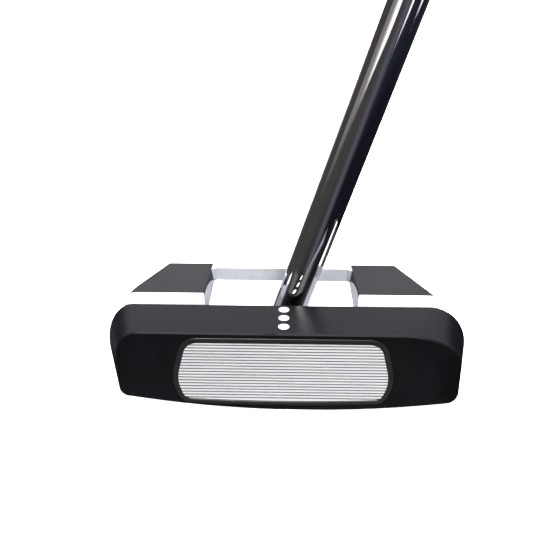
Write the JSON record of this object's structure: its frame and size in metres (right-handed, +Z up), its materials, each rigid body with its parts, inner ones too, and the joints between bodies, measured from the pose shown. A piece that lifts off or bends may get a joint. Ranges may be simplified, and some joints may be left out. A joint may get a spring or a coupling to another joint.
{
  "type": "mallet putter",
  "caption": "Mallet golf putter at address: flared front bar with a grooved face insert, wings joined at the back, leaning chromed shaft and rubber grip.",
  "frame": {"origin": "on the flat of the sole, under the middle of the front bar, in line with the three alignment dots", "axes": "+Z up at address, +X from toe to heel, +Y from the striking face to the back of the head"},
  "size_m": [0.3264, 0.0644, 0.85],
  "materials": {
    "head_black": "matte black coat, slightly grey where it faces up",
    "bare_aluminium": "milled, satin",
    "dark_panel": "matte charcoal",
    "white_panel": "satin white",
    "white_dot": "white",
    "insert_silver": "milled with level grooves",
    "insert_black": "satin black",
    "backing_rubber": "plain",
    "weight_steel": "turned",
    "washer_plastic": "plain",
    "plate_aluminium": "brushed along the head",
    "screw_steel": "darkened",
    "post_steel": "turned",
    "shaft_chrome": "polished chrome plate",
    "tape_paper": "crepe tape",
    "grip_rubber": "moulded, fine pattern",
    "cap_rubber": "moulded, plain"
  },
  "bodies": {
    "root": {"head_body": "head_black", "rear_frame": "bare_aluminium", "frame_screws": "screw_steel", "wing_panel_toe": "dark_panel", "wing_panel_heel": "dark_panel", "stripe_panel_toe": "white_panel", "stripe_panel_heel": "white_panel", "alignment_dots": "white_dot", "face_insert": "insert_silver", "insert_frame": "insert_black", "insert_backing": "backing_rubber", "sole_weight_toe": "weight_steel", "sole_weight_heel": "weight_steel", "weight_washers": "washer_plastic", "sole_plate": "plate_aluminium", "sole_plate_screws": "screw_steel", "hosel_post": "post_steel", "hosel_screw": "screw_steel", "shaft": "shaft_chrome", "grip_tape": "tape_paper", "grip_sleeve": "grip_rubber", "grip_cap": "cap_rubber"}
  },
  "joints": []
}
